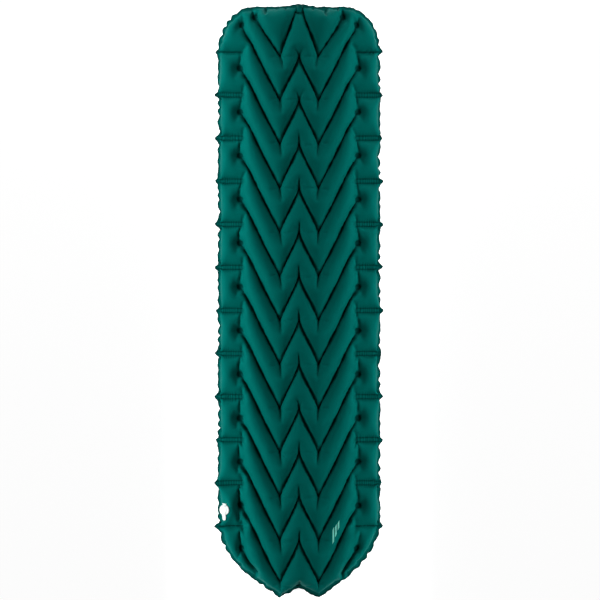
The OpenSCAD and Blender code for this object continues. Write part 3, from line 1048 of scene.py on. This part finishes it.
def cross_bar(radius, width, y, z):
    """Closed bar along X."""
    mesh = block(disc(radius, count=28), -width / 2, width / 2)
    turned = Matrix.Translation((0, y, z)) @ Matrix.Rotation(math.pi / 2, 4, "Y")
    bmesh.ops.transform(mesh, matrix=turned, verts=mesh.verts)
    return mesh


def as_object(mesh):
    data = bpy.data.meshes.new("part")
    mesh.to_mesh(data)
    mesh.free()
    obj = bpy.data.objects.new("part", data)
    bpy.context.collection.objects.link(obj)
    return obj


def apply_modifiers(obj):
    made = bpy.data.meshes.new_from_object(obj.evaluated_get(bpy.context.evaluated_depsgraph_get()))
    obj.modifiers.clear()
    obj.data = made


def combine(obj, others, operation):
    """Joins the other blocks to obj or cuts them from it."""
    others = [as_object(mesh) for mesh in others]
    for other in others:
        step = obj.modifiers.new("step", "BOOLEAN")
        step.operation = operation
        step.solver = "EXACT"
        step.object = other
    apply_modifiers(obj)
    for other in others:
        bpy.data.objects.remove(other)


def merged(adds, cuts):
    """One closed mesh: blocks joined, then hollows cut."""
    obj = as_object(adds[0])
    combine(obj, adds[1:], "UNION")
    combine(obj, cuts, "DIFFERENCE")
    mesh = bmesh.new()
    mesh.from_mesh(obj.data)
    bpy.data.objects.remove(obj)
    return mesh


def valve_piece(name, body, node, material, adds, cuts=(), edge=0.22):
    """One moulded piece: blocks joined, hollows cut, edges rounded."""
    obj = as_object(merged(adds, cuts))
    rounding = obj.modifiers.new("edges", "BEVEL")
    rounding.width = edge
    rounding.segments = 2
    rounding.limit_method = "ANGLE"
    rounding.angle_limit = math.radians(40)
    rounding.use_clamp_overlap = True
    apply_modifiers(obj)
    obj.data.transform(valve_matrix() @ Matrix.Scale(0.001, 4))
    obj.data.polygons.foreach_set("use_smooth", [True] * len(obj.data.polygons))
    obj.data.set_sharp_from_angle(angle=math.radians(50))
    obj.data.materials.clear()
    obj.data.materials.append(material)
    obj.name = name
    place(obj, body, node)
    return obj


def ears(y, z, foot, width, gap, radius):
    """Blocks to add and to cut for two hinge ears; the pin between them is not made here."""
    upright = oblong(-width / 2, width / 2, y - radius, y + radius)
    adds = [cross_bar(radius, width, y, z), block(upright, foot, z)]
    cuts = [block(oblong(-gap / 2, gap / 2, y - radius - 1, y + radius + 1), foot, z + radius + 1)]
    return adds, cuts


def around(count, radius, size, z0, z1):
    """Round posts set evenly round the axis."""
    centres = [radius * turn(i, count) for i in range(count)]
    return [block(disc(size, x, y, POST_SIDES), z0, z1) for x, y in centres]


def valve_flange():
    adds = [
        block(disc(FLANGE_R), SEAT_LINE, -0.50),
        block(disc(NECK_R), SEAT_LINE, NECK_TOP),
        block(disc(13.1), 2.6, NECK_TOP),
    ]
    return valve_piece(
        "valve_flange_moulding", "pad", "valve_flange", body_plastic,
        adds, [block(disc(NECK_BORE_R), -3.0, 6.0)],
    )


def stage_strap():
    ring = block(disc(14.2), 0.1, STRAP_TOP)
    foot = block(oblong(-6.3, 6.3, 12.6, 19.7), 0.1, STRAP_TOP)
    ear_adds, ear_cuts = ears(*STAGE_PIN, STRAP_TOP, 12.6, 8.6, 1.5)
    obj_adds = [ring, foot] + ear_adds
    pin = cross_bar(PIN_R, 12.4, *STAGE_PIN)
    cuts = [block(disc(12.4), -1.0, 2.0)] + ear_cuts
    return with_pin("stage_strap_moulding", "stage_strap", "pad", obj_adds, cuts, pin)


def with_pin(name, node, body, adds, cuts, pin):
    """A strap piece: the ears are cut first, then the pin joins them."""
    strap = merged(adds, cuts)
    return valve_piece(name, body, node, strap_plastic, [strap, pin], edge=0.16)


def stage_cap():
    adds = [
        block(disc(STAGE_R), STAGE_BASE, STAGE_TOP),
        block(disc(STAGE_R), 1.3, 4.4),
        block(disc(10.2), 1.0, 4.4),
        block(tab(12.0, -13.0, 26.0), STAGE_BASE, STAGE_TOP),
        block(oblong(-4.2, 4.2, 14.0, STAGE_PIN[0]), 1.4, STAGE_TOP),
        cross_bar(1.4, 8.4, *STAGE_PIN),
    ]
    hollow = block(disc(13.5), 0.0, STAGE_BASE)
    groove = [block(disc(8.8), 0.0, STAGE_BASE)]
    port = block(disc(7.0), -3.0, 7.0)
    skirted = merged(adds[:2], [hollow])
    shell = merged([skirted, adds[2]], groove)
    ribs = [block(oblong(-3.6, 3.6, y - 0.45, y + 0.45), 4.8, 5.45) for y in (-23.0, -25.4, -27.8)]
    cuts = [
        block(disc(5.2), STAGE_BASE, 9.0),
        block(disc(5.0), -0.9, 9.0),
        block(disc(4.6), -4.0, 9.0),
        cross_bar(PIN_HOLE_R, 12.0, *STAGE_PIN),
        block(oblong(-6.8, 6.8, 16.7, 20.7), 4.2, 12.0),
    ]
    notches = around(30, 16.35, 0.62, 0.5, 3.4)
    return valve_piece(
        "stage_cap_moulding", "stage", "stage_cap", cap_plastic,
        [shell, port] + adds[3:] + ribs, cuts + notches, edge=0.18,
    )


def stage_seal():
    return valve_piece(
        "stage_seal_ring", "stage", "stage_seal", seal_rubber,
        [block(disc(NECK_R), NECK_TOP, STAGE_BASE)], [block(disc(10.8), 3.0, 4.5)], edge=0.12,
    )


def flap_seat():
    plate = [block(disc(7.0), -3.8, -3.0)]
    holes = around(6, 3.2, 1.2, -5.0, -2.0) + [block(disc(1.0), -5.0, -2.0)]
    return valve_piece(
        "flap_seat_plate", "stage", "flap_seat", body_plastic, plate, holes, edge=0.10
    )


def check_flap():
    adds = [block(disc(6.2), -4.3, -3.8), block(disc(0.8), -3.9, -1.4), block(disc(1.45), -1.75, -1.2)]
    return valve_piece(
        "check_flap_silicone", "flap", "check_flap", flap_silicone, adds, edge=0.10
    )


def cap_strap():
    foot_top = 5.9
    foot = block(oblong(-5.2, 5.2, 10.6, 14.6), STAGE_TOP, foot_top)
    ear_adds, ear_cuts = ears(*CAP_PIN, foot_top, 10.4, 6.6, 1.3)
    pin = cross_bar(PIN_R, 10.2, *CAP_PIN)
    return with_pin("cap_strap_moulding", "cap_strap", "stage", [foot] + ear_adds, ear_cuts, pin)


def port_cap():
    adds = [
        block(disc(CAP_R), CAP_BASE, CAP_TOP),
        block(disc(4.6), 4.0, 7.2),
        block(tab(9.0, 0.0, 15.0), CAP_BASE, 7.9),
        block(oblong(-3.2, 3.2, 8.0, CAP_PIN[0]), CAP_BASE, CAP_TOP),
        cross_bar(1.3, 6.4, *CAP_PIN),
    ]
    adds += [block(oblong(-2.6, 2.6, y - 0.4, y + 0.4), 7.6, 8.25) for y in (-12.4, -14.4, -16.4)]
    cuts = [
        block(disc(3.0), 3.0, CAP_BASE),
        block(disc(6.4), 8.05, 9.0),
        cross_bar(PIN_HOLE_R, 10.4, *CAP_PIN),
    ]
    ring = merged([block(disc(6.0), 5.0, 6.0)], [block(disc(4.1), 4.0, CAP_BASE)])
    return valve_piece(
        "port_cap_moulding", "cap", "port_cap", cap_plastic, adds, cuts + [ring], edge=0.18
    )


def cap_seal():
    """O-ring swept round the plug."""
    mesh = bmesh.new()
    big, small = 4.55, 0.45
    rings = []
    for i in range(ROUND):
        c, s = turn(i, ROUND)
        out = [small * turn(j, 14) for j in range(14)]
        rings.append([mesh.verts.new(((big + o[0]) * c, (big + o[0]) * s, 5.5 + o[1])) for o in out])
    for i in range(ROUND):
        a, b = rings[i], rings[(i + 1) % ROUND]
        for j in range(14):
            k = (j + 1) % 14
            mesh.faces.new((a[j], b[j], b[k], a[k]))
    bmesh.ops.recalc_face_normals(mesh, faces=mesh.faces)
    return valve_piece("cap_seal_ring", "cap", "cap_seal", seal_rubber, [mesh], edge=0.01)


for build in (
    valve_flange, stage_strap, stage_cap, stage_seal, flap_seat, check_flap, cap_strap, port_cap, cap_seal
):
    build()


# ---------- studio
def paper(name):
    """Pale seamless paper, lit evenly from below as on a light table."""
    look = Look(name, 0.7, 0.2)
    tooth = look.noise(look.objects(), 60.0)
    look.set("Base Color", look.mix(tooth, (0.90, 0.90, 0.90, 1), (0.93, 0.93, 0.93, 1)))
    look.set("Emission Color", (1.0, 1.0, 1.0, 1.0))
    look.set("Emission Strength", 0.92)
    return look.material


def studio():
    reach, level = 6.0, -0.0005
    corners = [(x, y, level) for x, y in oblong(-reach, reach, -reach, reach)]
    make_mesh("floor", corners, [(0, 1, 2, 3)], paper("pale_paper"))
    world = bpy.data.worlds.new("studio")
    world.use_nodes = True
    world.node_tree.nodes["Background"].inputs["Color"].default_value = (1, 1, 1, 1)
    world.node_tree.nodes["Background"].inputs["Strength"].default_value = 0.04
    bpy.context.scene.world = world


def softbox(name, size, spread, power, at, aim):
    """Rectangular soft light with a grid that narrows its beam, aimed at a point."""
    data = bpy.data.lights.new(name, "AREA")
    data.shape = "RECTANGLE"
    data.size, data.size_y = size
    data.spread = math.radians(spread)
    data.energy = power
    obj = bpy.data.objects.new(name, data)
    bpy.context.collection.objects.link(obj)
    obj.location = at
    obj.rotation_euler = (Vector(aim) - Vector(at)).to_track_quat("-Z", "Y").to_euler()
    obj.visible_camera = False


STRIP_SIZE = (2.2, 0.16)  # the long side lies along the pad
STRIP_SPREAD = 42
LEFT_POWER = 1.9
RIGHT_POWER = 1.45
HEAD_POWER = 18


def lights():
    """A long strip beside each half of the pad, lighting its own half, and a weak light past the head."""
    for name, side, power in (("left_softbox", -1, LEFT_POWER), ("right_softbox", 1, RIGHT_POWER)):
        at, aim = (side * 0.55, 0.0, 0.34), (side * 0.17, 0.0, MID_Z)
        softbox(name, STRIP_SIZE, STRIP_SPREAD, power, at, aim)
    softbox("head_softbox", (1.2, 0.3), 180, HEAD_POWER, (0.0, 3.2, 0.8), (0.0, 0.0, 0.0))


def camera():
    """Long lens straight above the pad, head end up."""
    lens, view_side = 100.0, 1.875
    data = bpy.data.cameras.new("camera")
    data.lens = lens
    obj = bpy.data.objects.new("camera", data)
    bpy.context.collection.objects.link(obj)
    obj.location = (0.003, 0.0, lens / data.sensor_width * view_side + MID_Z)
    bpy.context.scene.camera = obj


studio()
lights()
camera()
bpy.context.scene.view_settings.view_transform = "Standard"
